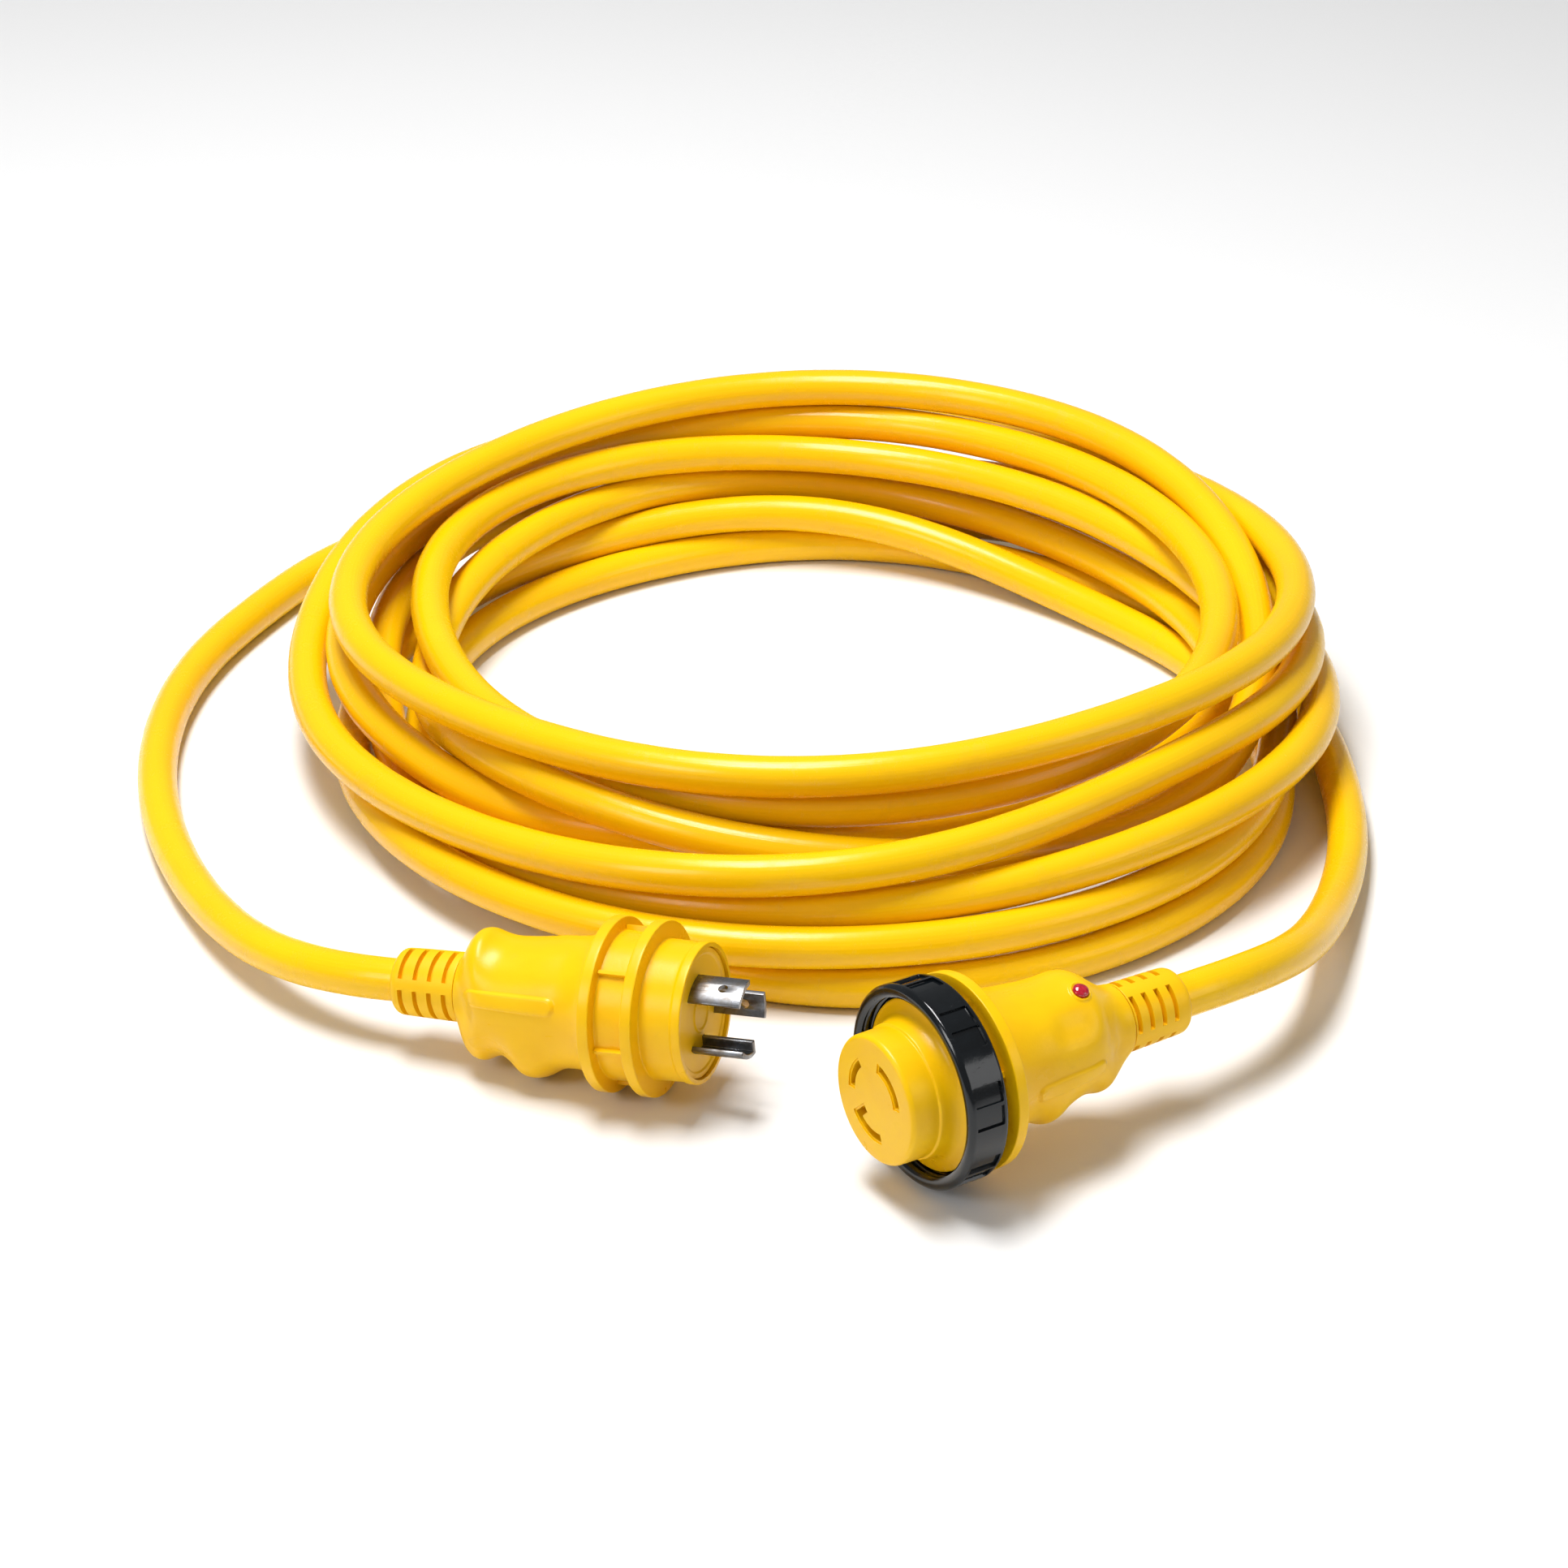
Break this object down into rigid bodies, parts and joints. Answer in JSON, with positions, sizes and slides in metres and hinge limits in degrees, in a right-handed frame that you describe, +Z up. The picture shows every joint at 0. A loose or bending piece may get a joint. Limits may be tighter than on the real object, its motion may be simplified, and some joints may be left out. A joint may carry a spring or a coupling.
{
  "type": "shore power cord",
  "caption": "Coiled heavy-duty power cord with a moulded locking plug, a moulded locking connector and a threaded sealing ring that turns round the connector's nose.",
  "frame": {"origin": "bottom centre of the box round the plug and the connector, on the floor they lie on", "axes": "+Z up; +X from the plug's side to the connector's side; +Y from the plug and connector towards the coil behind them"},
  "size_m": [0.4836, 0.5866, 0.082],
  "materials": {
    "cord_yellow": "semi-gloss yellow PVC jacket",
    "moulded_yellow": "semi-gloss moulded yellow PVC",
    "ring_black": "polished black nylon",
    "blade_metal": "bright plated brass",
    "contact_brass": "plain brass",
    "lens_red": "clear red lens",
    "resistor_blue": "matt coating",
    "wire_hot": "black wire insulation",
    "wire_neutral": "white wire insulation",
    "wire_ground": "green wire insulation"
  },
  "bodies": {
    "root": {"connector_body": "moulded_yellow", "connector_ground_crimp": "contact_brass", "connector_ground_wire": "wire_ground", "connector_hot_crimp": "contact_brass", "connector_hot_wire": "wire_hot", "connector_jacket_end": "cord_yellow", "connector_neutral_crimp": "contact_brass", "connector_neutral_wire": "wire_neutral", "connector_nose": "moulded_yellow", "connector_strain_relief": "moulded_yellow", "cord_coil": "cord_yellow", "cord_tail_connector": "cord_yellow", "cord_tail_plug": "cord_yellow", "ground_blade": "blade_metal", "ground_contact": "contact_brass", "hot_blade": "blade_metal", "hot_contact": "contact_brass", "neutral_blade": "blade_metal", "neutral_contact": "contact_brass", "plug_blade_carrier": "moulded_yellow", "plug_body": "moulded_yellow", "plug_ground_crimp": "contact_brass", "plug_ground_wire": "wire_ground", "plug_hot_crimp": "contact_brass", "plug_hot_wire": "wire_hot", "plug_jacket_end": "cord_yellow", "plug_neutral_crimp": "contact_brass", "plug_neutral_wire": "wire_neutral", "plug_strain_relief": "moulded_yellow", "power_light_lens": "lens_red", "power_light_resistor": "resistor_blue"},
    "ring": {"sealing_ring": "ring_black"}
  },
  "joints": [
    {"name": "sealing_ring_spin", "type": "hinge", "parent": "root", "child": "ring", "pos_m": [0.04917, -0.03299, 0.0378], "axis": [-0.8403, -0.5422, 0], "continuous": true}
  ]
}
